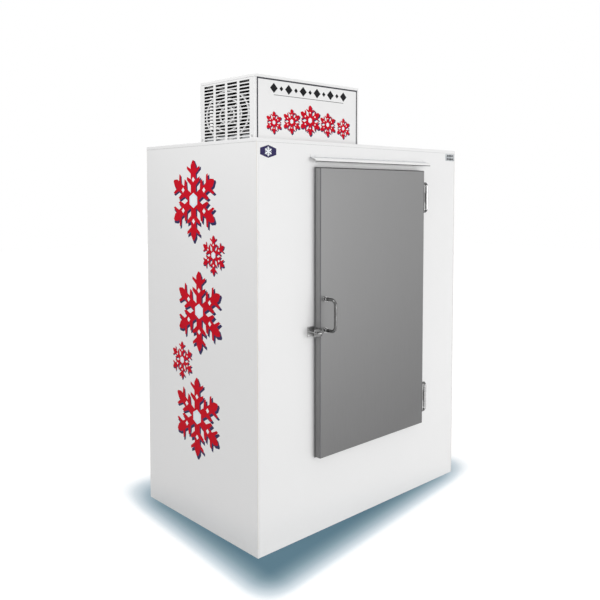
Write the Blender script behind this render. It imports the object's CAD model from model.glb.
# %% [markdown]
# # An outdoor ice freezer
# Shops stand this cabinet outside their door. It is a box of painted sheet steel over foam, with
# one steel door on the front and the cooling machine under a small louvred hood on its top.
# The CAD model gives every size. This lesson adds what a drawing leaves out: bent edges, seams,
# louvres, wire guards, vinyl artwork, and a finish for each surface.

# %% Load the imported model
import math
from types import SimpleNamespace as Box

import bmesh
import bpy
from mathutils import Matrix, Vector


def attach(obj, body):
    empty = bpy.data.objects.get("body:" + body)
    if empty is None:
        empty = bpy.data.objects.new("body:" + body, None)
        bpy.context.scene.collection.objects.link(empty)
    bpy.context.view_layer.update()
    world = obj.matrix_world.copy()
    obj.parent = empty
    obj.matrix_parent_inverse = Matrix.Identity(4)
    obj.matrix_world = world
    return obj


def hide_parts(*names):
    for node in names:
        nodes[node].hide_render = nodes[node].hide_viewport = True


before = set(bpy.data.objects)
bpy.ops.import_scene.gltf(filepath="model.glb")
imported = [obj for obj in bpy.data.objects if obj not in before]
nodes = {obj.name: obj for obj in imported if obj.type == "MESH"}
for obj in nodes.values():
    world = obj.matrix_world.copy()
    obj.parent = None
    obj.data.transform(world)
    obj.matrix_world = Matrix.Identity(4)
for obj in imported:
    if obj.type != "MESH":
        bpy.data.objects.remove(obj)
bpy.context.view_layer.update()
MM = 0.001

# %% [markdown]
# ## The camera
# The camera stands to the left, a little above the handle. The six corners of the cabinet that
# show give its place, and a small lens shift keeps the verticals nearly parallel.

# %% Camera
camera_data = bpy.data.cameras.new("camera")
camera_data.sensor_width = 36
camera_data.lens = 42.963
camera_data.shift_y = -0.115
camera_data.clip_end = 60
camera = bpy.data.objects.new("camera", camera_data)
bpy.context.scene.collection.objects.link(camera)
camera.location = Vector((-2397.4, -2503.8, 1431.1)) * MM
camera.rotation_euler = (math.radians(90 - 3.028), 0, math.radians(-43.152))
bpy.context.scene.camera = camera
print("camera at", [round(v, 3) for v in camera.location])

# %% [markdown]
# ## Tools for the bench
# Every piece is made the same way: add a simple shape, enter edit mode, select some faces or
# edges by their place, and work on them. Short helpers say that in one line. Sizes are in
# millimetres here, as on the drawing, and in metres in the mesh.


# %% Selecting and editing
def let_go():
    """Leave edit mode and deselect everything."""
    if bpy.context.mode != "OBJECT":
        bpy.ops.object.mode_set(mode="OBJECT")
    bpy.ops.object.select_all(action="DESELECT")


def take(*pieces):
    """Select pieces, the last one active."""
    let_go()
    for piece in pieces:
        piece.select_set(True)
        bpy.context.view_layer.objects.active = piece


def edit(piece):
    take(piece)
    bpy.ops.object.mode_set(mode="EDIT")


def edit_all(piece):
    """Enter edit mode with everything selected."""
    edit(piece)
    bpy.ops.mesh.select_all(action="SELECT")


def middle(part):
    """The middle of a vertex, edge or face in millimetres."""
    if isinstance(part, bmesh.types.BMVert):
        return part.co / MM
    return sum((v.co for v in part.verts), Vector()) / len(part.verts) / MM


def pick(piece, kind, test):
    """In edit mode, select the vertices, edges or faces that pass a test."""
    bpy.ops.mesh.select_mode(type=kind)
    bpy.ops.mesh.select_all(action="DESELECT")
    shape = bmesh.from_edit_mesh(piece.data)
    parts = {"VERT": shape.verts, "EDGE": shape.edges, "FACE": shape.faces}[kind]
    for part in parts:
        if test(part):
            part.select_set(True)
    shape.select_flush_mode()
    bmesh.update_edit_mesh(piece.data)


def along(edge, axis):
    """True for an edge that runs along X, Y or Z."""
    way = edge.verts[1].co - edge.verts[0].co
    return abs(way["xyz".index(axis)]) > 0.999 * way.length


def place_in_mesh(name):
    """Put the active object's place, turn and size into its mesh."""
    piece = bpy.context.object
    bpy.ops.object.transform_apply(location=True, rotation=True, scale=True)
    piece.name = piece.data.name = name
    return piece


def block(name, low, high):
    """A box between two corners."""
    let_go()
    a, b = Vector(low), Vector(high)
    bpy.ops.mesh.primitive_cube_add(size=1, location=(a + b) / 2 * MM, scale=(b - a) * MM)
    return place_in_mesh(name)


TURNS = {"x": (0, math.pi / 2, 0), "y": (math.pi / 2, 0, 0), "z": (0, 0, 0)}


def rod(name, centre, diameter, length, axis, sides=32):
    """A closed cylinder around a point, along X, Y or Z."""
    let_go()
    bpy.ops.mesh.primitive_cylinder_add(
        vertices=sides, radius=diameter / 2 * MM, depth=length * MM,
        location=Vector(centre) * MM, rotation=TURNS[axis])
    return place_in_mesh(name)


def round_edges(piece, width, steps, test):
    """Bevel the edges that pass a test."""
    edit(piece)
    pick(piece, "EDGE", test)
    bpy.ops.mesh.bevel(offset=width * MM, segments=steps, affect="EDGES", clamp_overlap=True)
    let_go()


def face_outwards(piece):
    edit_all(piece)
    bpy.ops.mesh.normals_make_consistent(inside=False)
    let_go()


def apply_modifier(piece, kind, **settings):
    take(piece)
    modifier = piece.modifiers.new(kind.lower(), kind)
    for key, value in settings.items():
        setattr(modifier, key, value)
    bpy.ops.object.modifier_apply(modifier=modifier.name)


def bevel_corners(piece, width, steps=2):
    """Round every sharp edge of a piece."""
    apply_modifier(piece, "BEVEL", width=width * MM, segments=steps, limit_method="ANGLE",
                   angle_limit=math.radians(30), use_clamp_overlap=True)


def sheet_from(piece, thickness, open_side):
    """Open a box on one side and give it a sheet wall that grows inwards."""
    edit(piece)
    pick(piece, "FACE", open_side)
    bpy.ops.mesh.delete(type="FACE")
    let_go()
    apply_modifier(piece, "SOLIDIFY", thickness=thickness * MM, offset=-1, use_even_offset=True)


def join(name, *pieces):
    take(*pieces[1:], pieces[0])
    bpy.ops.object.join()
    pieces[0].name = pieces[0].data.name = name
    return pieces[0]


def copy_of(piece, name):
    """A copy with its own mesh."""
    twin = piece.copy()
    twin.data = piece.data.copy()
    bpy.context.scene.collection.objects.link(twin)
    twin.name = twin.data.name = name
    return twin


def cad_copy(node, name, width=0.0, steps=2):
    """A merged copy of a CAD node with rounded edges."""
    twin = copy_of(nodes[node], name)
    for key in list(twin.keys()):
        del twin[key]
    twin.parent = None
    edit_all(twin)
    bpy.ops.mesh.remove_doubles(threshold=0.00001)
    bpy.ops.mesh.dissolve_limited(angle_limit=math.radians(1))
    let_go()
    if width:
        bevel_corners(twin, width, steps)
    return twin


def finish_piece(piece, body, material, stands_for=(), angle=40):
    """Shade, paint and hand a piece over to the body that carries it."""
    take(piece)
    bpy.ops.object.shade_smooth_by_angle(angle=math.radians(angle))
    apply_modifier(piece, "WEIGHTED_NORMAL", keep_sharp=True, weight=50)
    piece.data.materials.clear()
    piece.data.materials.append(material)
    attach(piece, body)
    if stands_for:
        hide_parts(*stands_for)
    print(f"{piece.name}: {len(piece.data.polygons)} faces on {body}")
    return piece


def second_finish(piece, material, test):
    """Give another material to the faces whose middle and normal pass a test."""
    piece.data.materials.append(material)
    spot = len(piece.data.materials) - 1
    chosen = [face for face in piece.data.polygons if test(face.center / MM, face.normal)]
    for face in chosen:
        face.material_index = spot
    print(f"{piece.name}: {len(chosen)} faces in {material.name}")


print("bench ready")

# %% [markdown]
# ## Finishes
# Each finish is a small node recipe on Object coordinates, so that a speck of paint is as big
# on the hood as on the door. Powder paint has a fine orange skin, brushed steel has grain lines,
# zinc has pale crystals, and all of them vary a little from place to place.


# %% Node helpers
class Recipe:
    """A node tree that is filled line by line."""

    def __init__(self, name, **uniform):
        self.material = bpy.data.materials.new(name)
        self.material.use_nodes = True
        self.tree = self.material.node_tree
        self.shader = self.tree.nodes["Principled BSDF"]
        for socket, value in uniform.items():
            self.shader.inputs[socket.replace("_", " ")].default_value = value
        self.place = self.add("ShaderNodeTexCoord", {}).outputs["Object"]

    def add(self, kind, feeds, **settings):
        """A new node, its settings, and what feeds its sockets."""
        made = self.tree.nodes.new(kind)
        for key, value in settings.items():
            setattr(made, key, value)
        for socket, source in feeds.items():
            self.wire(source, made.inputs[socket])
        return made

    def wire(self, source, socket):
        """Wire a socket, or set it to a plain number or colour."""
        if isinstance(source, bpy.types.NodeSocket):
            self.tree.links.new(source, socket)
        elif isinstance(source, (int, float)):
            socket.default_value = source
        else:
            socket.default_value = (*source, 1)

    def stretch(self, scale):
        """Object coordinates scaled before a pattern reads them."""
        mapping = self.add("ShaderNodeMapping", {"Vector": self.place})
        mapping.inputs["Scale"].default_value = scale
        return mapping.outputs["Vector"]

    def noise(self, scale, detail=2.0, rough=0.5, where=None):
        feeds = {"Scale": scale, "Detail": detail, "Roughness": rough,
                 "Vector": where or self.place}
        return self.add("ShaderNodeTexNoise", feeds).outputs["Fac"]

    def cells(self, scale, output, feature="F1"):
        feeds = {"Scale": scale, "Vector": self.place}
        return self.add("ShaderNodeTexVoronoi", feeds, feature=feature).outputs[output]

    def ramp(self, source, stops):
        """Colours along a value, as (position, colour) pairs."""
        ramp = self.add("ShaderNodeValToRGB", {"Fac": source})
        stop_list = ramp.color_ramp.elements
        while len(stop_list) < len(stops):
            stop_list.new(0.5)
        for stop, (position, colour) in zip(stop_list, stops):
            stop.position = position
            stop.color = (*colour, 1) if len(colour) == 3 else (colour[0],) * 3 + (1,)
        return ramp.outputs["Color"]

    def span(self, source, low, high, to_low=0.0, to_high=1.0, **settings):
        """Map a range of values onto another range."""
        feeds = {"Value": source, "From Min": low, "From Max": high, "To Min": to_low,
                 "To Max": to_high}
        return self.add("ShaderNodeMapRange", feeds, **settings).outputs["Result"]

    def spread(self, noise, low=0.0, high=1.0):
        """Stretch the usual values of a noise, 0.3 to 0.7, over a range."""
        return self.span(noise, 0.3, 0.7, low, high)

    def axis(self, letter):
        split = self.add("ShaderNodeSeparateXYZ", {"Vector": self.place})
        return split.outputs[letter.upper()]

    def mix(self, factor, first, second, blend="MIX"):
        """Blend two colours; each may be a socket or a plain colour."""
        feeds = {"Factor": factor, 6: first, 7: second}
        return self.add("ShaderNodeMix", feeds, data_type="RGBA", blend_type=blend).outputs[2]

    def sum(self, first, second, how="ADD"):
        return self.add("ShaderNodeMath", {0: first, 1: second}, operation=how).outputs[0]

    def colour(self, source):
        self.wire(source, self.shader.inputs["Base Color"])

    def rough(self, source):
        self.wire(source, self.shader.inputs["Roughness"])

    def bump(self, height, distance, strength=1.0):
        """Relief of some millimetres."""
        feeds = {"Strength": strength, "Distance": distance * MM, "Height": height}
        bump = self.add("ShaderNodeBump", feeds)
        self.wire(bump.outputs["Normal"], self.shader.inputs["Normal"])


# %% Painted steel, steel and zinc
def powder_paint(name, colour):
    """Powder paint: even colour, orange skin, a breath of dust near the ground."""
    paint = Recipe(name, Coat_Weight=0.12, Coat_Roughness=0.12)
    cloud = paint.noise(2.2, 3)
    speck = paint.noise(240, 2)
    shade = paint.mix(paint.spread(cloud, 0, 0.5), colour, [c * 0.975 for c in colour])
    low = paint.span(paint.axis("z"), 0.0, 0.22, 0.04, 0.0)
    dust = paint.sum(low, paint.span(paint.noise(38, 4), 0.4, 0.75), "MULTIPLY")
    paint.colour(paint.mix(dust, shade, (0.55, 0.52, 0.47)))
    paint.rough(paint.spread(speck, 0.3, 0.42))
    paint.bump(paint.noise(520, 1), 0.05, 0.5)
    return paint.material


def brushed(name, light, dark, grain=(1, 1, 0.02), rough=(0.28, 0.42), metal=0.85):
    """Brushed sheet: fine lines along one direction, with slow changes of tone."""
    steel = Recipe(name, Metallic=metal)
    lines = steel.noise(1400, 3, 0.6, steel.stretch(grain))
    cloud = steel.noise(3.5, 2)
    tone = steel.sum(steel.spread(lines, 0, 0.55), steel.spread(cloud, 0, 0.45))
    steel.colour(steel.ramp(tone, ((0.15, dark), (0.85, light))))
    steel.rough(steel.spread(lines, *rough))
    steel.bump(lines, 0.02, 0.4)
    return steel.material


def zinc(name, light, dark):
    """Galvanised sheet: flat crystals of zinc, each with its own grey."""
    sheet = Recipe(name, Metallic=0.75)
    bend = sheet.noise(60, 2)
    grey = sheet.add("ShaderNodeSeparateColor", {"Color": sheet.cells(85, "Color")})
    tone = sheet.sum(sheet.span(grey.outputs["Red"], 0, 1, 0, 0.6),
                     sheet.spread(bend, 0, 0.4))
    sheet.colour(sheet.ramp(tone, ((0.1, dark), (0.9, light))))
    sheet.rough(sheet.span(grey.outputs["Green"], 0, 1, 0.3, 0.5))
    sheet.bump(bend, 0.03, 0.3)
    return sheet.material


white_paint = powder_paint("white_powder_paint", (0.80, 0.80, 0.80))
zinc_sheet = zinc("zinc_sheet", (0.56, 0.58, 0.59), (0.36, 0.38, 0.4))
print("paint and zinc mixed")

# %% Door steel
# The door is grey steel. It is paler at its top, where it sees the sky, and darker at its foot.
def door_sheet(name, gain):
    """The door's grey steel; gain makes the whole range paler."""
    steel = Recipe(name, Metallic=0.45, IOR=1.5)
    lines = steel.noise(900, 3, 0.65, steel.stretch((1, 1, 0.015)))
    up = steel.span(steel.axis("z"), 0.33, 1.54)
    across = steel.span(steel.axis("x"), -0.34, 0.35, 0.12, -0.10)
    greys = [(at, (tone * gain,)) for at, tone in ((0.0, 0.128), (0.55, 0.187), (1.0, 0.222))]
    steel.colour(steel.mix(steel.span(lines, 0.35, 0.65, 0, 0.12),
                           steel.ramp(steel.sum(up, across), greys), (0.3, 0.3, 0.31)))
    steel.rough(steel.spread(lines, 0.36, 0.5))
    steel.bump(lines, 0.015, 0.5)
    return steel.material


door_steel = door_sheet("door_steel", 1.0)
door_edge_steel = door_sheet("door_edge_steel", 1.3)
print("door steel mixed")

# %% Chrome
def plated(name, dark, light, gloss=(0.07, 0.2)):
    """Chrome plate: small stains in its tone and in its gloss."""
    metal = Recipe(name, Metallic=1.0)
    wear = metal.noise(90, 4, 0.6)
    metal.colour(metal.ramp(wear, ((0.35, (dark,)), (0.7, (light,)))))
    metal.rough(metal.spread(metal.noise(260, 3), *gloss))
    metal.bump(metal.noise(300, 2), 0.01, 0.4)
    return metal.material


chrome = plated("chrome_plate", 0.5, 0.66)
worn_chrome = plated("worn_chrome", 0.46, 0.6, (0.26, 0.4))
dull_chrome = plated("dull_chrome", 0.14, 0.22, (0.2, 0.34))
dark_chrome = plated("dark_chrome", 0.1, 0.16, (0.08, 0.2))
hinge_chrome = plated("hinge_chrome", 0.38, 0.52, (0.1, 0.22))
bend_steel = brushed("bent_edge_steel", (0.15, 0.15, 0.155), (0.1, 0.1, 0.105),
                     rough=(0.4, 0.5), metal=0.5)
dark_bend = brushed("shaded_edge_steel", (0.05, 0.05, 0.052), (0.03, 0.03, 0.032),
                    rough=(0.5, 0.6), metal=0.3)
print("chrome plated")


# %% Dark paint, plastics, rubber, copper, aluminium and foam
def matt(name, colour, spread=0.12, rough=(0.45, 0.6), grain=700, relief=0.04, **uniform):
    """A moulded or sprayed finish with a fine even grain."""
    finish = Recipe(name, **uniform)
    cloud = finish.noise(14, 4)
    fine = finish.noise(grain, 2)
    darker = [c * (1 - spread) for c in colour]
    finish.colour(finish.mix(finish.spread(cloud), colour, darker))
    finish.rough(finish.spread(fine, *rough))
    finish.bump(fine, relief, 0.5)
    return finish.material


black_paint = matt("black_machine_paint", (0.018, 0.018, 0.02), 0.3, (0.3, 0.45), 420, 0.06,
                   Specular_IOR_Level=0.35)
pale_plastic = matt("pale_plastic", (0.70, 0.71, 0.72), 0.05, (0.38, 0.5), 900, 0.03)
dark_plastic = matt("dark_plastic", (0.016, 0.016, 0.018), 0.25, (0.45, 0.6), 900, 0.05,
                    Specular_IOR_Level=0.3)
rubber = matt("grey_rubber", (0.05, 0.05, 0.052), 0.2, (0.6, 0.75), 500, 0.05)
sealant = matt("grey_sealant", (0.42, 0.42, 0.41), 0.12, (0.5, 0.65), 300, 0.1)
gasket_vinyl = matt("gasket_vinyl", (0.15, 0.155, 0.16), 0.12, (0.42, 0.55), 500, 0.04)
foam = matt("insulating_foam", (0.72, 0.62, 0.38), 0.2, (0.8, 0.95), 160, 0.6)
copper = brushed("copper_tube", (0.72, 0.36, 0.2), (0.45, 0.2, 0.1), (1, 1, 1), (0.25, 0.42),
                 1.0)
bright_aluminium = brushed("bright_aluminium", (0.72, 0.73, 0.75), (0.5, 0.51, 0.53))
emboss = Recipe("embossed_liner", Metallic=0.25)
dimples = emboss.cells(110, "Distance", "SMOOTH_F1")
emboss.colour(emboss.ramp(emboss.noise(5, 4),
                          ((0.3, (0.56, 0.57, 0.58)), (0.7, (0.64, 0.65, 0.66)))))
emboss.rough(emboss.span(dimples, 0.1, 0.8, 0.5, 0.64))
emboss.bump(dimples, 0.5, 0.8)
liner_sheet = emboss.material
fin_metal = brushed("coated_fins", (0.02, 0.02, 0.022), (0.008, 0.008, 0.009), (1, 0.1, 1),
                    (0.4, 0.55), 0.3)
print("finishes", len(bpy.data.materials))

# %% [markdown]
# ## Which finish each CAD piece takes
# Pieces whose CAD shape is already right only get their finish. The list covers all of them,
# so that nothing is left in the plain colour of the drawing.

# %% Finish for every CAD node
slots = {
    "white_enamel": white_paint, "sign_white": white_paint, "door_steel": door_steel,
    "galvanised": zinc_sheet, "chrome": chrome, "black_enamel": black_paint,
    "aluminium_fins": fin_metal, "fan_aluminium": bright_aluminium, "copper": copper,
    "foam": foam, "pale_plastic": pale_plastic, "dark_plastic": dark_plastic, "rubber": rubber,
}
own_finish = {f"liner_{side}": liner_sheet
              for side in ("left", "right", "back", "front", "ceiling", "floor")}
own_finish["evaporator_coil"] = bright_aluminium
for name, node in nodes.items():
    slot_name = node.data.materials[0].name if node.data.materials else "white_enamel"
    finish = own_finish.get(name) or slots[slot_name.split(".")[0]]
    node.data.materials.clear()
    node.data.materials.append(finish)
print("CAD nodes with a finish:", len(nodes))

# %% Sizes from the drawing
HALF_W, HALF_D, CAB_H = 647.5, 397.0, 1643.0
DOOR = Box(x0=-341.0, x1=349.0, z0=329.0, z1=1536.0, face=-433.0, back=-404.0)
OPEN = Box(x0=-306.0, x1=314.0, z0=364.0, z1=1501.0)
HOOD = Box(x0=-612.0, x1=-12.0, y0=-340.0, y1=18.0, z1=1896.0)
LIP, SHEET, SEAM = 14.0, 1.2, 0.8  # the lids' folded lip, sheet thickness, gap at a seam
WALL_TOP, HOOD_WALL_TOP = CAB_H - LIP - SEAM, HOOD.z1 - 12.8
FRONT_FACE, BACK_FACE = -HALF_D + 0.2, HALF_D - 0.2
BOARD_HALF = HALF_W - 7.3  # the front and back sheets reach from tray to tray
print("cabinet", 2 * HALF_W, 2 * HALF_D, CAB_H)

# %% [markdown]
# ## Cabinet sheets
# Each side is a tray of bent sheet with round corners, and a fine seam shows where it meets the
# front. A tray starts as a box: its long edges are bevelled, one side is opened, and the wall
# gets the thickness of sheet.


# %% Side sheets
def painted(piece, *stands_for, angle=40):
    """Finish a white painted piece of the cabinet."""
    return finish_piece(piece, "cabinet", white_paint, stands_for, angle)


for name, node, sign in (("side_sheet_left", "left_side_panel", -1),
                         ("side_sheet_right", "right_side_panel", 1)):
    reach = sorted((sign * (HALF_W - 0.6), sign * (HALF_W - 6.5)))
    side = block(name, (reach[0], -HALF_D, 0), (reach[1], HALF_D, WALL_TOP))
    round_edges(side, 3.5, 4, lambda e: along(e, "z") and abs(middle(e).x) > HALF_W - 2)
    sheet_from(side, SHEET, lambda f: sign * f.normal.x < -0.9)
    painted(side, node)

# %% [markdown]
# The front sheet has the opening for the door. A box is cut by four planes, the two faces in the
# opening are deleted, and their edges are bridged, which leaves clean walls round the hole. The
# back sheet has a fine groove down its middle, where two sheets meet.

# %% Front and back sheets
GROOVE_W, GROOVE_DEEP = 3.0, 0.8


def slice_box(piece, cuts):
    """Cut a mesh by planes square to X, Y or Z."""
    edit(piece)
    for axis, place in cuts:
        bpy.ops.mesh.select_all(action="SELECT")
        square = Vector([float(letter == axis) for letter in "xyz"])
        bpy.ops.mesh.bisect(plane_co=square * place * MM, plane_no=square, threshold=0.000001)
    let_go()


def grown(box, by):
    """The x0, z0, x1, z1 of a box, some millimetres larger on all sides."""
    return (box.x0 - by, box.z0 - by, box.x1 + by, box.z1 + by)


def open_hole(piece, x0, z0, x1, z1):
    """Open a hole with clean walls in a board that faces Y."""
    slice_box(piece, (("x", x0), ("x", x1), ("z", z0), ("z", z1)))
    edit(piece)
    pick(piece, "FACE", lambda f: abs(f.normal.y) > 0.9 and x0 < middle(f).x < x1
         and z0 < middle(f).z < z1)
    bpy.ops.mesh.delete(type="FACE")
    pick(piece, "EDGE", lambda e: e.is_boundary)
    bpy.ops.mesh.bridge_edge_loops()
    let_go()


front = block("front_sheet", (-BOARD_HALF, FRONT_FACE, 0),
              (BOARD_HALF, FRONT_FACE + SHEET, WALL_TOP))
open_hole(front, *grown(OPEN, 0))
round_edges(front, 0.5, 2, lambda e: along(e, "z") and abs(middle(e).x) > HALF_W - 8
            and middle(e).y < -HALF_D + 1)
painted(front, "front_panel")

back = block("back_sheet", (-BOARD_HALF, BACK_FACE - 1, 0), (BOARD_HALF, BACK_FACE, WALL_TOP))
slice_box(back, (("x", -GROOVE_W / 2), ("x", GROOVE_W / 2)))
edit(back)
pick(back, "FACE", lambda f: f.normal.y > 0.9 and abs(middle(f).x) < GROOVE_W / 2)
bpy.ops.mesh.extrude_region_move(TRANSFORM_OT_translate={"value": (0, -GROOVE_DEEP * MM, 0)})
let_go()
round_edges(back, 0.4, 2, lambda e: along(e, "z") and middle(e).y > BACK_FACE - 0.1)
painted(back, "back_panel")

# %% [markdown]
# The top sheet closes the cabinet like a shallow lid. Its folded lip laps over the four walls,
# and its shadow is the fine line below the cabinet's top edge.


# %% Top sheet
def lid(name, node, low, high):
    """A shallow lid of sheet with round edges, open below."""
    piece = block(name, low, high)
    round_edges(piece, 3, 4, lambda e: middle(e).z > high[2] - 1 or along(e, "z"))
    sheet_from(piece, SHEET, lambda f: f.normal.z < -0.9)
    return painted(piece, node)


lid("top_sheet", "top_panel", (-HALF_W, -HALF_D, CAB_H - LIP), (HALF_W, HALF_D, CAB_H))
bead = block("lip_sealant", (-HALF_W + 1, -HALF_D + 0.6, CAB_H - LIP - 0.9),
             (HALF_W - 1, HALF_D - 0.6, CAB_H - LIP + 0.1))
round_edges(bead, 2, 3, lambda e: along(e, "z"))
finish_piece(bead, "cabinet", sealant)

# %% [markdown]
# ## The door
# The door is a deep steel pan with tight bends, filled with foam. Behind it lie a white moulded
# liner and the vinyl gasket, whose edge shows as a thin dark line round the door.

# %% Door pan
pan = block("door_pan", (DOOR.x0, DOOR.face, DOOR.z0),
            (DOOR.x1, DOOR.back, DOOR.z1))
round_edges(pan, 3.6, 4, lambda e: middle(e).y < DOOR.face + 1 or along(e, "y"))
sheet_from(pan, SHEET, lambda f: f.normal.y > 0.9)
finish_piece(pan, "door", door_steel, ("door_skin",))
FLAT = 0.985  # a normal's larger share on the flat faces, above that of the bends
second_finish(pan, bend_steel, lambda at, normal: max(abs(n) for n in normal) < FLAT)
second_finish(pan, dark_bend, lambda at, normal: FLAT > max(normal.x, normal.z) > 0.1
              and normal.y < -0.1)
second_finish(pan, door_edge_steel, lambda at, normal: abs(normal.x) > FLAT)


# %% Gasket
def ring(name, outer, inner, y0, y1):
    """A flat frame round the door opening; outer and inner are x0, z0, x1, z1."""
    piece = block(name, (outer[0], y0, outer[1]), (outer[2], y1, outer[3]))
    open_hole(piece, *inner)
    return piece


BULB_BACK = -397.35
bulb = ring("door_gasket_bulb", grown(OPEN, 24), grown(OPEN, 4), -402.9, BULB_BACK)
round_edges(bulb, 1.6, 3, lambda e: not along(e, "y") and abs(middle(e).y - BULB_BACK) < 0.2)
wiper = ring("door_gasket_wiper", grown(DOOR, 2.2), grown(OPEN, 26), -402.8, -399.2)
round_edges(wiper, 1.2, 3, lambda e: not along(e, "y"))
gasket = join("gasket_strip", bulb, wiper)
finish_piece(gasket, "door", gasket_vinyl, ("door_gasket",))

# %% [markdown]
# ## The door's inner side
# Behind the gasket the door has a white moulded liner: a plug that reaches into the opening,
# with soft corners and a shallow sunk panel that stiffens it. The panel is one inset, pushed in.

# %% Door liner and foam
PLUG = Box(x0=-294.0, x1=302.0, z0=376.0, z1=1489.0, face=-355.0)
LINER, PANEL_SUNK, PANEL_MARGIN = 2.5, 5.0, 62.0


def plug_form(name, inside):
    """The plug's form, or the same form some millimetres inside it."""
    low = (PLUG.x0 + inside, DOOR.back, PLUG.z0 + inside)
    high = (PLUG.x1 - inside, PLUG.face - inside, PLUG.z1 - inside)
    piece = block(name, low, high)
    round_edges(piece, 11, 5, lambda e: along(e, "y") or middle(e).y > high[1] - 1)
    edit(piece)
    pick(piece, "FACE", lambda f: f.normal.y > 0.99)
    bpy.ops.mesh.inset(thickness=PANEL_MARGIN * MM)
    bpy.ops.mesh.inset(thickness=9 * MM, depth=-PANEL_SUNK * MM)
    let_go()
    round_edges(piece, 2.2, 3, lambda e: middle(e).y > high[1] - PANEL_SUNK - 1
                and low[0] + 50 < middle(e).x < high[0] - 50
                and low[2] + 50 < middle(e).z < high[2] - 50)
    return piece


plug = plug_form("door_liner_plug", 0)
sheet_from(plug, LINER, lambda f: f.normal.y < -0.9)
rim = ring("door_liner_rim", grown(DOOR, -1.5), grown(PLUG, 0.5), DOOR.back,
           DOOR.back + 1)
finish_piece(join("door_liner_moulding", plug, rim), "door", pale_plastic,
             ("door_liner",))
x0, z0, x1, z1 = grown(DOOR, -SHEET)
core = block("door_foam_core", (x0, DOOR.face + SHEET, z0), (x1, DOOR.back, z1))
round_edges(core, 2.5, 2, lambda e: middle(e).y < DOOR.face + 3 or along(e, "y"))
core = join("door_foam_core", core, plug_form("plug_foam", LINER))
finish_piece(core, "door", foam, ("door_foam",))
finish_piece(cad_copy("door_jamb", "door_jamb_moulding", 1.6, 3), "cabinet",
             pale_plastic, ("door_jamb",))

# %% [markdown]
# ## The pull handle
# The handle is a round bar, bent twice, that stands on two stepped bosses. A circle is pushed
# along each straight with extrude and swept round each bend with spin, as a pipe bender does.


# %% Bent bars
def bent_bar(name, points, radius, diameter):
    """A round bar through points, with bends of one radius between them."""
    points = [Vector(p) * MM for p in points]
    radius *= MM
    here = points[0]
    let_go()
    bpy.ops.mesh.primitive_circle_add(
        vertices=20, radius=diameter / 2 * MM, fill_type="NGON", location=here,
        rotation=(points[1] - here).to_track_quat("Z", "Y").to_euler())
    piece = place_in_mesh(name)
    edit_all(piece)
    for corner, target in zip(points[1:-1], points[2:]):
        way, after = (corner - here).normalized(), (target - corner).normalized()
        turn = way.angle(after)
        stop = corner - way * radius * math.tan(turn / 2)
        bpy.ops.mesh.extrude_region_move(TRANSFORM_OT_translate={"value": stop - here})
        axis = way.cross(after).normalized()
        centre = stop + axis.cross(way) * radius
        bpy.ops.mesh.spin(steps=8, angle=-turn, center=centre, axis=axis)
        here = corner + after * radius * math.tan(turn / 2)
    bpy.ops.mesh.extrude_region_move(TRANSFORM_OT_translate={"value": points[-1] - here})
    bpy.ops.mesh.select_all(action="SELECT")
    bpy.ops.mesh.remove_doubles(threshold=0.000005)
    let_go()
    face_outwards(piece)
    return piece


BAR_X, BAR_Y, BAR_FOOT, BAR_LOW, BAR_HIGH = -316.0, -495.0, -438.0, 866.0, 996.0
grip = bent_bar("pull_bar", [(BAR_X, BAR_FOOT, BAR_LOW), (BAR_X, BAR_Y, BAR_LOW),
                             (BAR_X, BAR_Y, BAR_HIGH), (BAR_X, BAR_FOOT, BAR_HIGH)], 22, 13)
bosses = []
for z in (BAR_LOW, BAR_HIGH):
    for index, (y, size, long) in enumerate(((-435.5, 22, 5), (-441, 18, 6), (-446.5, 20, 4),
                                             (-451, 16.5, 4.5))):
        boss = rod(f"boss_{index}_{int(z)}", (BAR_X, y, z), size, long, "y")
        round_edges(boss, 0.9, 3, lambda e: not along(e, "y"))
        bosses.append(boss)
handle = join("pull_handle", grip, *bosses)
finish_piece(handle, "door", dark_chrome, ("door_handle",))
second_finish(handle, chrome, lambda at, normal: -438.1 < at.y or -448.6 < at.y < -444.4)

# %% Hinges, hasp and rail with rounded edges
HINGE_HEIGHTS = (455.0, 1410.0)
for node, name, body, slot_name, finish, width in (
        ("hinge_door_leaves", "hinge_loops", "door", "chrome", hinge_chrome, 0.7),
        ("hinge_cabinet_leaves", "hinge_plates", "cabinet", "chrome", hinge_chrome, 0.6),
        ("hasp_base", "hasp_foot", "door", "chrome", dull_chrome, 0.35),
        ("hasp_strap", "hasp_plate", "hasp", "chrome", dull_chrome, 0.5),
        ("strike_plate", "strike_and_staple", "cabinet", "chrome", worn_chrome, 0.6)):
    finish_piece(cad_copy(node, name, width), body, finish, (node,))

# %% [markdown]
# The hinge loops are dark where they bend back to the door, and the leaf on the cabinet was
# painted white with the sheet that it is screwed to. So these pieces take a second finish.

# %% Second finishes on the hinges
second_finish(bpy.data.objects["hinge_loops"], dark_chrome,
              lambda at, normal: min(abs(at.z - z) for z in HINGE_HEIGHTS) > 58 and at.x > 353)
second_finish(bpy.data.objects["hinge_plates"], white_paint, lambda at, normal: at.y > -422)

# %% Drip rail
RAIL_LOW = 1559.0
DRIP_EDGE, BAND_LOW, BAND_HIGH = RAIL_LOW + 3.2, RAIL_LOW + 17.4, RAIL_LOW + 20
rail = cad_copy("drip_rail", "drip_flashing")
edit(rail)
pick(rail, "VERT", lambda v: middle(v).x < -380)
bpy.ops.transform.translate(value=(26 * MM, 0, 0))
let_go()
slice_box(rail, [("z", height) for height in (DRIP_EDGE, BAND_LOW, BAND_HIGH)])
bevel_corners(rail, 0.5)
painted(rail, "drip_rail")
second_finish(rail, rubber, lambda at, normal: at.z < DRIP_EDGE)
second_finish(rail, zinc_sheet, lambda at, normal: BAND_LOW < at.z < BAND_HIGH)

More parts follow.
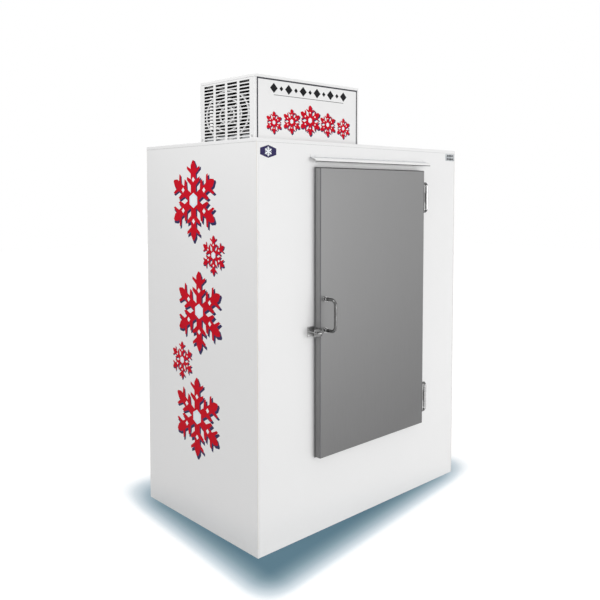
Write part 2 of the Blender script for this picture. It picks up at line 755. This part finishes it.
# %% [markdown]
# ## The hood
# The hood is a box of thin sheet over the cooling machine. Its left and right ends are punched
# full of slots. One end starts as a plane, which is cut into rows and columns. The cells of the
# slots are deleted, and Solidify gives the sheet its thickness. The cut edges and the inside of
# the whole hood are sprayed black, so that the slots look deep.

# %% Louvred ends
SLOT_L, SLOT_H, SLOT_BAR, SLOT_PITCH, ROWS, COLUMNS = 62.5, 9.0, 16.3, 13.9, 17, 4
FIRST_ROW = 1871.0
MID_Y = (HOOD.y0 + HOOD.y1) / 2
HOOD_MID_X = (HOOD.x0 + HOOD.x1) / 2
row_heights = [FIRST_ROW - r * SLOT_PITCH for r in range(ROWS)]
first_y = MID_Y - (COLUMNS * SLOT_L + (COLUMNS - 1) * SLOT_BAR) / 2
column_starts = [first_y + c * (SLOT_L + SLOT_BAR) for c in range(COLUMNS)]


def in_slot(point):
    in_row = any(abs(point.z - z) < SLOT_H / 2 - 0.1 for z in row_heights)
    return in_row and any(y + 0.1 < point.y < y + SLOT_L - 0.1 for y in column_starts)


def louvred_end(name, node, x):
    """A hood end, punched full of slots."""
    y0, y1, z0, z1 = HOOD.y0 + 8.2, HOOD.y1 - 1.3, CAB_H, HOOD_WALL_TOP
    let_go()
    bpy.ops.mesh.primitive_plane_add(size=1, rotation=TURNS["x"],
                                     location=Vector((x, (y0 + y1) / 2, (z0 + z1) / 2)) * MM)
    piece = bpy.context.object
    piece.scale = ((z1 - z0) * MM, (y1 - y0) * MM, 1)
    place_in_mesh(name)
    cuts = [("y", y + d) for y in column_starts for d in (0, SLOT_L)]
    cuts += [("z", z + d) for z in row_heights for d in (-SLOT_H / 2, SLOT_H / 2)]
    slice_box(piece, cuts)
    edit(piece)
    pick(piece, "FACE", lambda f: in_slot(middle(f)))
    bpy.ops.mesh.delete(type="FACE")
    let_go()
    apply_modifier(piece, "SOLIDIFY", thickness=SHEET * MM, offset=0)
    face_outwards(piece)
    painted(piece, node, angle=30)
    second_finish(piece, black_paint, lambda at, normal: normal.x * (HOOD_MID_X - x) > 0
                  or abs(normal.x) < 0.7 and y0 + 2 < at.y < y1 - 2 and z0 + 2 < at.z < z1 - 2)


louvred_end("louvred_end_left", "hood_left_side", HOOD.x0 + SHEET / 2)
louvred_end("louvred_end_right", "hood_right_side", HOOD.x1 - SHEET / 2)

# %% Hood front, top and back
hood_front = block("hood_front_sheet", (HOOD.x0, HOOD.y0, CAB_H),
                   (HOOD.x1, HOOD.y0 + 8, HOOD_WALL_TOP))
round_edges(hood_front, 3, 4, lambda e: along(e, "z") and middle(e).y < HOOD.y0 + 1)
sheet_from(hood_front, SHEET, lambda f: f.normal.y > 0.9)
painted(hood_front, "hood_front")
second_finish(hood_front, black_paint,
              lambda at, normal: normal.y > 0.7 and at.y < HOOD.y0 + 2)

hood_top = lid("hood_lid", "hood_top", (HOOD.x0, HOOD.y0, HOOD.z1 - 12),
               (HOOD.x1, HOOD.y1, HOOD.z1))
second_finish(hood_top, black_paint,
              lambda at, normal: normal.z < -0.7 and at.z > HOOD.z1 - 2)

hood_rear = cad_copy("hood_back", "hood_back_sheet")
edit_all(hood_rear)
bpy.ops.mesh.bisect(plane_co=(0, 0, HOOD_WALL_TOP * MM), plane_no=(0, 0, 1),
                    use_fill=True, clear_outer=True, threshold=0.000001)
let_go()
painted(hood_rear, "hood_back", angle=30)
second_finish(hood_rear, black_paint, lambda at, normal: normal.y < -0.7)

# %% [markdown]
# ## Screws
# Pan-head screws hold the hinge leaves, the drip rail, the back sheet and the hood's lid. One
# screw is modelled: a short cylinder with a round edge and a socket made by an inset pushed in.

# %% Screws
def screw(name, place, diameter, height, facing):
    """A pan-head screw; facing is +1 or -1 along Y, and place is the middle of its seat."""
    piece = rod(name, (0, -height / 2, 0), diameter, height, "y", 20)
    edit(piece)
    pick(piece, "EDGE", lambda e: abs(middle(e).y + height) < 0.05)
    bpy.ops.mesh.bevel(offset=0.32 * height * MM, segments=3, affect="EDGES")
    pick(piece, "FACE", lambda f: f.normal.y < -0.99)
    bpy.ops.mesh.inset(thickness=0.22 * diameter * MM)
    bpy.ops.mesh.inset(thickness=0.02 * diameter * MM, depth=-0.55 * height * MM)
    let_go()
    piece.rotation_euler = (0, 0, 0 if facing < 0 else math.pi)
    piece.location = Vector(place) * MM
    take(piece)
    return place_in_mesh(name)


def screws(name, places, diameter, height, facing, finish):
    """The same screw at several places, as one piece on the cabinet."""
    group = [screw(f"{name}_0", places[0], diameter, height, facing)]
    for place in places[1:]:
        group.append(copy_of(group[0], f"{name}_{len(group)}"))
        edit_all(group[-1])
        bpy.ops.transform.translate(value=(Vector(place) - Vector(places[0])) * MM)
        let_go()
    finish_piece(join(name, *group), "cabinet", finish)


screws("hinge_screws",
       [(384.5, -400, z + d) for z in HINGE_HEIGHTS for d in (-56, -20, 20, 56)],
       7, 1.8, -1, chrome)
screws("rail_screws", [(x, -398.2, RAIL_LOW + 26) for x in range(-340, 400, 144)],
       6, 1.5, -1, white_paint)
screws("back_screws", [(x, BACK_FACE, z) for x in (-628, -14, 14, 628)
                       for z in range(60, 1620, 194)],
       11, 0.2, 1, zinc_sheet)
screws("hood_top_screws", [(x, HOOD.y1 - 0.4, HOOD.z1 - 6) for x in (-570, -312, -54)],
       7, 0.9, 1, zinc_sheet)

# %% [markdown]
# ## The wire guard
# A guard of thick white wire stands close behind the louvres, before the cooling coil. Each ring
# is a torus, stretched to an oval. Two straight wires cross behind the rings and carry them, and
# four short legs hold the guard to the coil.

# %% Wire guard
GUARD_X, GUARD_WIRE, COIL_FACE_X, GUARD_R, GUARD_STRETCH = -607.0, 6.4, -572.0, 98.0, 1.42
GUARD_Y, GUARD_Z = -161.0, 1747.5
LEG_X = (GUARD_X + COIL_FACE_X) / 2 + 0.4
wires = []
for share in (0.34, 0.67, 1.0):
    let_go()
    bpy.ops.mesh.primitive_torus_add(
        major_radius=GUARD_R * share * MM, minor_radius=GUARD_WIRE / 2 * MM, major_segments=56,
        minor_segments=8, location=Vector((GUARD_X, GUARD_Y, GUARD_Z)) * MM, rotation=TURNS["x"])
    bpy.context.object.scale = (1, GUARD_STRETCH, 1)
    wires.append(place_in_mesh(f"ring_{share}"))
for hand in (-1, 1):
    reach = Vector((0, hand * GUARD_R * GUARD_STRETCH, GUARD_R)) * math.sqrt(0.5)
    spoke = rod(f"spoke_{hand + 1}", (0, 0, 0), GUARD_WIRE, 2 * reach.length, "z", 8)
    spoke.rotation_euler = reach.to_track_quat("Z", "Y").to_euler()
    spoke.location = Vector((GUARD_X + GUARD_WIRE * 0.8, GUARD_Y, GUARD_Z)) * MM
    take(spoke)
    wires.append(place_in_mesh(f"spoke_{hand + 1}"))
    for end in (-1, 1):
        foot = Vector((0, GUARD_Y, GUARD_Z)) + reach * end * 0.985
        wires.append(rod(f"leg_{hand + 1}_{end + 1}", (LEG_X, foot.y, foot.z), GUARD_WIRE,
                         COIL_FACE_X - GUARD_X, "x", 8))
painted(join("coil_wire_guard", *wires))

# %% [markdown]
# ## The sign
# A white sign panel covers the hood's front. A thin dark line runs round its left, upper and
# right edges.

# %% Sign panel
SIGN = Box(x0=-600.0, x1=-24.0, z0=1647.0, z1=1884.0, face=-341.0)
sign = block("sign_panel", (SIGN.x0, SIGN.face, SIGN.z0),
             (SIGN.x1, HOOD.y0, SIGN.z1))
round_edges(sign, 0.4, 2, lambda e: middle(e).y < SIGN.face + 0.1)
finish_piece(sign, "cabinet", white_paint, ("sign_face",))

# %% [markdown]
# ## Vinyl artwork
# Snow crystals with six arms decorate the machine, cut from red film with a dark blue shadow.
# One crystal grows from a hexagonal plate. Each arm is one edge of the plate, pushed outwards
# step by step, and its twigs are pushed out of its sides.


# %% Vinyl colours
def vinyl(name, colour, edge, shine=0.2):
    film = Recipe(name, Specular_IOR_Level=shine)
    tone = film.noise(9, 3)
    film.colour(film.mix(film.spread(tone), colour, edge))
    film.rough(film.spread(film.noise(300, 2), 0.4, 0.5))
    film.bump(film.noise(180, 2), 0.02, 0.3)
    return film.material


red_vinyl = vinyl("red_vinyl", (0.60, 0.002, 0.016), (0.53, 0.001, 0.012), 0.05)
navy_vinyl = vinyl("navy_vinyl", (0.012, 0.006, 0.08), (0.010, 0.006, 0.06))
frost_vinyl = vinyl("frost_vinyl", (0.78, 0.85, 0.90), (0.66, 0.78, 0.87))
snow_vinyl = vinyl("snow_vinyl", (0.86, 0.88, 0.90), (0.80, 0.85, 0.88))
line_vinyl = vinyl("line_vinyl", (0.045, 0.045, 0.055), (0.03, 0.03, 0.04))
ink_vinyl = vinyl("ink_vinyl", (0.012, 0.012, 0.014), (0.007, 0.007, 0.009), 0.08)


# %% One snow crystal
ARM_STOPS = (0.38, 0.53, 0.67, 0.79, 0.88)  # along an arm, as shares of the radius
TWIGS = {1: 0.19, 3: 0.19}  # twig length, by the stop where the twig starts
SHORT_TWIGS = {2: 0.24}
ARM_WAYS = [Vector((math.cos(turn), 0, math.sin(turn)))
            for turn in (math.radians(30 + 60 * arm) for arm in range(6))]


def crystal(name, radius, width, twigs):
    """A flat crystal with six arms round the origin, in the XZ plane; sizes in millimetres."""
    let_go()
    bpy.ops.mesh.primitive_circle_add(vertices=6, radius=width * MM, fill_type="NGON",
                                      rotation=(math.pi / 2, math.pi / 6, 0))
    piece = place_in_mesh(name)
    edit(piece)
    rim = width * math.cos(math.pi / 6)
    stops = [rim] + [radius * share for share in ARM_STOPS]
    for out in ARM_WAYS:
        side = Vector((-out.z, 0, out.x))
        pick(piece, "EDGE", lambda e: (middle(e) - out * rim).length < 0.1)
        for start, stop in zip(stops, stops[1:] + [radius]):
            bpy.ops.mesh.extrude_edges_move(
                TRANSFORM_OT_translate={"value": out * (stop - start) * MM})
        bpy.ops.transform.resize(value=(0.25, 0.25, 0.25), center_override=out * radius * MM)
        for index, share in twigs.items():
            for hand in (-1, 1):
                root = out * (stops[index] + stops[index + 1]) / 2 + side * hand * width / 2
                twig = (out * 0.5 + side * hand * math.sqrt(0.75)) * radius * share
                pick(piece, "EDGE", lambda e: (middle(e) - root).length < 0.1)
                bpy.ops.mesh.extrude_edges_move(TRANSFORM_OT_translate={"value": twig * MM})
                bpy.ops.transform.resize(value=(0.6, 0.6, 0.6),
                                         center_override=(root + twig) * MM)
    let_go()
    return piece


def flat_plate(name, corners, radius):
    """A flat plate with some corners round the origin, in the XZ plane."""
    let_go()
    bpy.ops.mesh.primitive_circle_add(vertices=corners, radius=radius * MM, fill_type="NGON",
                                      rotation=(math.pi / 2, 0, 0))
    return place_in_mesh(name)


CRYSTAL_R = 100.0
blank = crystal("crystal_blank", CRYSTAL_R, 22.0, TWIGS)
stout_blank = crystal("stout_blank", CRYSTAL_R, 30.0, SHORT_TWIGS)
print("crystal:", len(blank.data.polygons), "faces")

# %% [markdown]
# ## Sticking the film on
# Each colour of film is made in the XZ plane from copies of one crystal, gets a thickness, and
# is then turned to face out from its wall.


# %% Cutting and sticking
def cut(piece, name, size, place, wide=1.0):
    """A copy at another size and width, moved to a place (across, up) on the sheet."""
    twin = copy_of(piece, name)
    edit_all(twin)
    bpy.ops.transform.resize(value=(size * wide, size, size), center_override=(0, 0, 0))
    bpy.ops.transform.translate(value=Vector((place[0], 0, place[1])) * MM)
    let_go()
    return twin


def stick(name, shapes, wall, depth, material):
    """Join flat shapes and put them on a wall; depth is their near and far face before it."""
    turn, distance = wall
    film = join(name, *shapes)
    apply_modifier(film, "SOLIDIFY", thickness=(depth[1] - depth[0]) * MM, offset=0)
    face_outwards(film)
    middle_depth = Vector((0, -distance - sum(depth) / 2, 0)) * MM
    film.location = Matrix.Rotation(turn, 3, "Z") @ middle_depth
    film.rotation_euler = (0, 0, turn)
    take(film)
    place_in_mesh(name)
    return finish_piece(film, "cabinet", material, angle=20)


SIGN_WALL = (0.0, -SIGN.face)
FRONT_WALL = (0.0, -FRONT_FACE)
SIDE_WALLS = {"left": (-math.pi / 2, HALF_W - 0.6), "right": (math.pi / 2, HALF_W - 0.6)}
DEPTHS = ((0.0, 0.14), (0.14, 0.3), (0.3, 0.4), (0.4, 0.48))  # shadow, red, frost, snow
DOT_AT = 0.52  # place of the white dot on each arm, as a share of the radius


def crystal_art(name, wall, shape, crystals, shadow_shift):
    """Crystals as (across, up, radius), in red on a dark blue shadow, with frosted middles."""
    layers = {"shadow": [], "red": [], "frost": [], "snow": []}
    for i, (across, up, radius) in enumerate(crystals):
        size = radius / CRYSTAL_R
        shift = shadow_shift * size
        layers["shadow"].append(cut(shape, f"a{i}", size * 1.03, (across + shift, up - shift)))
        layers["red"].append(cut(shape, f"b{i}", size, (across, up)))
        layers["frost"].append(cut(hexagon, f"c{i}", size * 0.19, (across, up)))
        layers["snow"].append(cut(hexagon, f"d{i}", size * 0.13, (across, up)))
        for arm, out in enumerate(ARM_WAYS):
            here = (across + DOT_AT * radius * out.x, up + DOT_AT * radius * out.z)
            layers["snow"].append(cut(lozenge, f"e{i}_{arm}", size * 0.065, here))
    for (layer, shapes), depth in zip(layers.items(), DEPTHS):
        stick(f"{name}_{layer}", shapes, wall, depth, VINYL[layer])


hexagon = flat_plate("hexagon_blank", 6, CRYSTAL_R)
lozenge = flat_plate("lozenge_blank", 4, CRYSTAL_R)
VINYL = {"shadow": navy_vinyl, "red": red_vinyl, "frost": frost_vinyl, "snow": snow_vinyl}
print("film ready")

# %% [markdown]
# ## Artwork on the sides and on the sign
# Five crystals climb each side from corner to corner, three large and two small. The sign
# carries five in an arch, below a row of small dark lozenges.

# %% Artwork
SIDE_CRYSTALS = ((-25, 1400, 170), (115, 1175, 82), (10, 930, 170), (-120, 700, 82),
                 (-10, 470, 170))
for side_name, wall in SIDE_WALLS.items():
    crystal_art(f"side_art_{side_name}", wall, blank, SIDE_CRYSTALS, 5)
SIGN_CRYSTALS = ((-512, 1712, 44), (-416, 1722, 50), (-312, 1733, 62), (-208, 1722, 50),
                 (-112, 1712, 44))
crystal_art("sign_art", SIGN_WALL, stout_blank, SIGN_CRYSTALS, 7)

marks = [cut(lozenge, f"mark_{i}", 0.2 if i % 2 == 0 else 0.1, (-512 + 40 * i, 1848))
         for i in range(11)]
stick("sign_marks", marks, SIGN_WALL, (0.0, 0.2), ink_vinyl)

# %% Lines on the sign
LINE_W = 6.2
border = block("sign_border", (SIGN.x0, SIGN.face - 0.2, SIGN.z1 - LINE_W),
               (SIGN.x1, SIGN.face, SIGN.z1))
slice_box(border, (("x", SIGN.x0 + LINE_W), ("x", SIGN.x1 - LINE_W)))
edit(border)
pick(border, "FACE", lambda f: f.normal.z < -0.9
     and not SIGN.x0 + LINE_W < middle(f).x < SIGN.x1 - LINE_W)
bpy.ops.mesh.extrude_region_move(
    TRANSFORM_OT_translate={"value": (0, 0, (SIGN.z0 - SIGN.z1 + LINE_W) * MM)})
let_go()
finish_piece(border, "cabinet", line_vinyl)
rule = block("sign_rule", (-512, SIGN.face - 0.15, 1820), (-112, SIGN.face, 1822.4))
finish_piece(rule, "cabinet", bend_steel)

# %% [markdown]
# Two small marks sit at the upper corners of the front: a wide dark blue hexagon with a white
# crystal on the left, and a small metal plate with two rows of lozenges on the right.

# %% Badge and small plate
BADGE_AT = (-590, 1592)
stick("badge_ground", [cut(hexagon, "f0", 0.25, BADGE_AT, 1.9)], FRONT_WALL, (0.0, 0.25),
      navy_vinyl)
stick("badge_crystal", [cut(stout_blank, "f1", 0.19, BADGE_AT)], FRONT_WALL, (0.25, 0.4),
      snow_vinyl)
bare = block("small_plate", (566, -HALF_D - 0.5, 1591), (640, -HALF_D + 0.2, 1625))
round_edges(bare, 3, 3, lambda e: along(e, "y"))
rivets = [rod(f"rivet_{x}", (x, -HALF_D - 0.6, 1608), 4, 0.6, "y", 12) for x in (571, 635)]
finish_piece(join("small_plate", bare, *rivets), "cabinet", zinc_sheet)
dots = [cut(lozenge, f"dot_{x}_{z}", 0.062, (x, z))
        for x in range(583, 630, 13) for z in (1600, 1616)]
stick("plate_marks", dots, (0.0, HALF_D + 0.5), (0.0, 0.1), ink_vinyl)
for spare in (blank, stout_blank, hexagon, lozenge):
    bpy.data.objects.remove(spare)

# %% [markdown]
# ## Floor, backdrop and light
# The studio is white. The floor and the world show plain white to the camera and to shiny
# metal, and the lamps stay soft and even, so that white paint keeps its greys. The floor darkens
# round the cabinet's foot, with the cool tint of the photograph.

# %% Floor
# Each side of the shadow: its way on the floor, where it is full and where it is gone, in metres
SHADOW_SIDES = (((0.145, -1, 0), 0.392, 0.612), ((-1, 0.09, 0), 0.618, 0.838),
                ((1, 0, 0), 0.50, 0.90), ((0, 1, 0), 0.25, 0.70))
SHADOW_TONES = ((0.0, (1, 1, 1)), (0.25, (0.57, 0.63, 0.67)), (0.5, (0.335, 0.415, 0.465)),
                (0.75, (0.187, 0.27, 0.315)), (1.0, (0.092, 0.165, 0.21)))
FLOOR_GLOW, WORLD_FILL = 0.68, 0.60
let_go()
bpy.ops.mesh.primitive_plane_add(size=30, location=(0, 0, 0))
floor = place_in_mesh("studio_floor")
ground = Recipe("studio_floor", Base_Color=(0.82, 0.82, 0.82, 1), Roughness=1.0)
depth_of_shadow = None
for way, full, gone in SHADOW_SIDES:
    across = ground.add("ShaderNodeVectorMath", {0: ground.place}, operation="DOT_PRODUCT")
    across.inputs[1].default_value = way
    side = ground.span(across.outputs["Value"], full, gone, 1, 0,
                       interpolation_type="SMOOTHSTEP")
    depth_of_shadow = ground.sum(depth_of_shadow, side, "MULTIPLY") if depth_of_shadow else side
tint = ground.ramp(depth_of_shadow, SHADOW_TONES)
matte_tint = ground.mix(1.0, tint, (0.62, 0.62, 0.62), "MULTIPLY")
seen_matte = ground.add("ShaderNodeBsdfDiffuse", {"Color": matte_tint})
seen_glow = ground.add("ShaderNodeEmission", {"Color": tint, "Strength": FLOOR_GLOW})
seen_floor = ground.add("ShaderNodeAddShader", {0: seen_matte.outputs[0],
                                                1: seen_glow.outputs[0]})


def seen_rays(recipe_tree):
    """1 for rays that show the backdrop: from the camera, a mirror or glass."""
    path = recipe_tree.nodes.new("ShaderNodeLightPath")
    total = path.outputs["Is Camera Ray"]
    for ray in ("Is Glossy Ray", "Is Transmission Ray"):
        larger = recipe_tree.nodes.new("ShaderNodeMath")
        larger.operation = "MAXIMUM"
        recipe_tree.links.new(total, larger.inputs[0])
        recipe_tree.links.new(path.outputs[ray], larger.inputs[1])
        total = larger.outputs[0]
    return total


floor_mix = ground.add("ShaderNodeMixShader", {0: seen_rays(ground.tree),
                                               1: ground.shader.outputs[0],
                                               2: seen_floor.outputs[0]})
ground.wire(floor_mix.outputs[0], ground.tree.nodes["Material Output"].inputs["Surface"])
floor.data.materials.append(ground.material)
print("floor laid")

# %% World
bpy.context.scene.view_settings.view_transform = "Standard"
world = bpy.data.worlds.new("studio")
bpy.context.scene.world = world
world.use_nodes = True
tree = world.node_tree
tree.nodes.clear()
output = tree.nodes.new("ShaderNodeOutputWorld")
mixer = tree.nodes.new("ShaderNodeMixShader")
tree.links.new(seen_rays(tree), mixer.inputs["Fac"])
for spot, strength in ((1, WORLD_FILL), (2, 1.0)):  # what lights the object, and what is seen
    white = tree.nodes.new("ShaderNodeBackground")
    white.inputs["Color"].default_value = (1, 1, 1, 1)
    white.inputs["Strength"].default_value = strength
    tree.links.new(white.outputs[0], mixer.inputs[spot])
tree.links.new(mixer.outputs[0], output.inputs["Surface"])
print("world set")


# %% Lamps
def softbox(name, place, target, size, power):
    lamp = bpy.data.lights.new(name, "AREA")
    lamp.shape = "SQUARE"
    lamp.size = size
    lamp.energy = power
    holder = bpy.data.objects.new(name, lamp)
    bpy.context.scene.collection.objects.link(holder)
    holder.location = place
    holder.rotation_euler = (Vector(target) - Vector(place)).to_track_quat("-Z", "Y").to_euler()


softbox("front_softbox", (1.3, -4.8, 1.2), (0.1, 0, 0.9), 2.4, 86)
softbox("side_softbox", (-2.3, -0.5, 2.9), (-0.65, -0.3, 1.6), 0.9, 24)
softbox("top_softbox", (0.3, 0.2, 4.6), (0, 0, 1), 3.0, 14)
print("lamps", len(bpy.data.lights))

# %% Sizes for the record, and the end
let_go()
